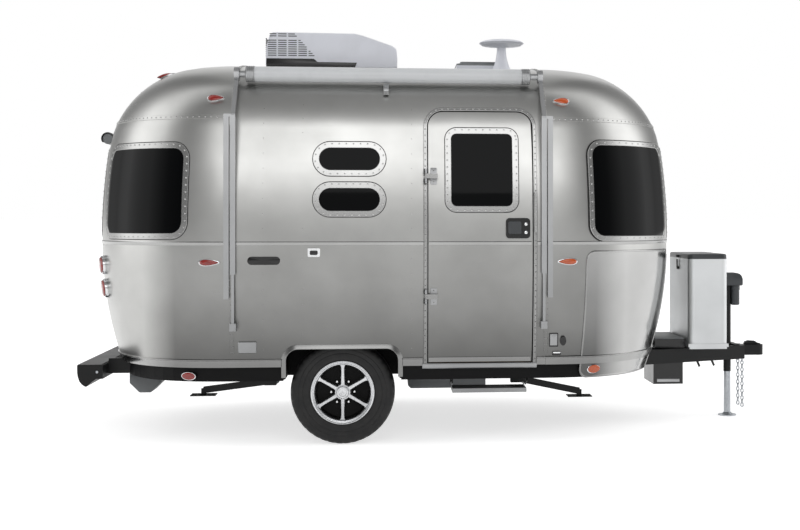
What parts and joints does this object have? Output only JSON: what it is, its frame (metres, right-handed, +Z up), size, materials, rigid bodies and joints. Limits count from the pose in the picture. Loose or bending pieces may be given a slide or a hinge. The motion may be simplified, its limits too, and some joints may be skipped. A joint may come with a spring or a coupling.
{
  "type": "travel caravan",
  "caption": "Two-wheel travel caravan with rounded polished metal body, hinged side door, wrap-around end windows, awning, tongue jack and spare fittings.",
  "frame": {"origin": "on the ground under the middle of the caravan", "axes": "+X points forward to the coupler, -Y is the door side, +Z is up"},
  "size_m": [4.99, 2.5071, 2.8748],
  "materials": {
    "skin": "polished, riveted sheet with rolled seams",
    "trim": "polished extrusion",
    "glass": "dark tinted safety glass",
    "floor": "plywood floor panel",
    "black_skirt": "black belly pan",
    "black_steel": "black chassis paint",
    "zinc": "bright zinc",
    "latch": "black latch bezel",
    "tyre": "tread rubber",
    "rim": "machined alloy with black pockets",
    "white_plastic": "pale moulded plastic",
    "grey_plastic": "grey moulded plastic",
    "gas_cover": "satin sheet",
    "lid_dark": "dark grey",
    "gas_bottle": "white enamel",
    "awning": "pale enamelled roller",
    "awning_arm": "satin extrusion",
    "lamp": "red and amber lenses on chrome bases",
    "camera": "black dome",
    "step": "ribbed tread"
  },
  "bodies": {
    "body": {"near_wall": "skin", "far_wall": "skin", "roof_panel": "skin", "rear_shell": "skin", "front_shell": "skin", "floor": "floor", "underbelly": "black_skirt", "wheel_wells": "black_skirt", "side_windows": "glass", "rear_windows": "glass", "front_windows": "glass", "stone_guards": "trim", "wheel_arch_trims": "trim", "door_frame": "trim", "grab_handle": "trim", "frame_rails": "black_steel", "drawbar": "black_steel", "coupler": "black_steel", "jack_tube": "black_steel", "axle": "black_steel", "axle_arms": "black_steel", "rear_bumper": "black_steel", "gas_cover": "gas_cover", "gas_bottles": "gas_bottle", "gas_tray": "gas_cover", "battery_box": "camera", "stabiliser_brackets": "black_steel", "step_bracket": "black_steel", "tank_pans": "grey_plastic", "air_conditioner": "white_plastic", "antenna": "white_plastic", "roof_vent": "white_plastic", "awning_roller": "awning", "awning_arms": "awning_arm", "lamps": "lamp", "rear_camera": "camera", "safety_chains": "zinc"},
    "door": {"door": "skin", "door_window": "glass", "door_latch": "latch", "door_hinges": "trim"},
    "near_wheel": {"near_tyre": "tyre", "near_rim": "rim"},
    "far_wheel": {"far_tyre": "tyre", "far_rim": "rim"},
    "jack_leg": {"jack_leg": "zinc"},
    "bumper_lid": {"bumper_lid": "black_steel"},
    "gas_cover_lid": {"gas_cover_lid": "lid_dark"},
    "rear_near_stabiliser": {"rear_near_stabiliser": "black_steel"},
    "rear_far_stabiliser": {"rear_far_stabiliser": "black_steel"},
    "front_near_stabiliser": {"front_near_stabiliser": "black_steel"},
    "front_far_stabiliser": {"front_far_stabiliser": "black_steel"},
    "step_arms": {"step_arms": "black_steel"},
    "step_tread": {"step_tread": "step"},
    "vent_lid": {"vent_lid": "grey_plastic"}
  },
  "joints": [
    {"name": "near_wheel_spin", "type": "hinge", "parent": "body", "child": "near_wheel", "pos_m": [-0.695, -0.9825, 0.35], "axis": [0, 1, 0], "continuous": true},
    {"name": "far_wheel_spin", "type": "hinge", "parent": "body", "child": "far_wheel", "pos_m": [-0.695, 0.9825, 0.35], "axis": [0, 1, 0], "continuous": true},
    {"name": "door_swing", "type": "hinge", "parent": "body", "child": "door", "pos_m": [-0.141, -1.24, 1.4], "axis": [0, 0, -1], "range_deg": [0, 165]},
    {"name": "jack_slide", "type": "slide", "parent": "body", "child": "jack_leg", "axis": [0, 0, 1], "range_m": [-0.12, 0.29]},
    {"name": "bumper_lid_swing", "type": "hinge", "parent": "body", "child": "bumper_lid", "pos_m": [-2.335, 0, 0.5183], "axis": [0, 1, 0], "range_deg": [0, 55]},
    {"name": "gas_lid_swing", "type": "hinge", "parent": "body", "child": "gas_cover_lid", "pos_m": [2.129, 0, 1.2153], "axis": [0, 1, 0], "range_deg": [0, 100]},
    {"name": "front_near_stabiliser_swing", "type": "hinge", "parent": "body", "child": "front_near_stabiliser", "pos_m": [0.5, -0.8, 0.4], "axis": [0, 1, 0], "range_deg": [0, 31]},
    {"name": "rear_near_stabiliser_swing", "type": "hinge", "parent": "body", "child": "rear_near_stabiliser", "pos_m": [-1.195, -0.8, 0.4], "axis": [0, -1, 0], "range_deg": [0, 36]},
    {"name": "front_far_stabiliser_swing", "type": "hinge", "parent": "body", "child": "front_far_stabiliser", "pos_m": [0.5, 0.8, 0.4], "axis": [0, 1, 0], "range_deg": [0, 31]},
    {"name": "rear_far_stabiliser_swing", "type": "hinge", "parent": "body", "child": "rear_far_stabiliser", "pos_m": [-1.195, 0.8, 0.4], "axis": [0, -1, 0], "range_deg": [0, 36]},
    {"name": "step_swing", "type": "hinge", "parent": "body", "child": "step_arms", "pos_m": [0.289, -1.075, 0.42], "axis": [-1, 0, 0], "range_deg": [0, 146]},
    {"name": "step_level", "type": "hinge", "parent": "step_arms", "child": "step_tread", "pos_m": [0.289, -0.96, 0.385], "axis": [-1, 0, 0], "range_deg": [-146, 0]},
    {"name": "vent_lid_swing", "type": "hinge", "parent": "body", "child": "vent_lid", "pos_m": [0.135, 0.365, 2.69907], "axis": [0, -1, 0], "range_deg": [0, 70]}
  ],
  "couplings": [
    {"joint": "step_level", "follows": "step_swing", "ratio": -1}
  ]
}
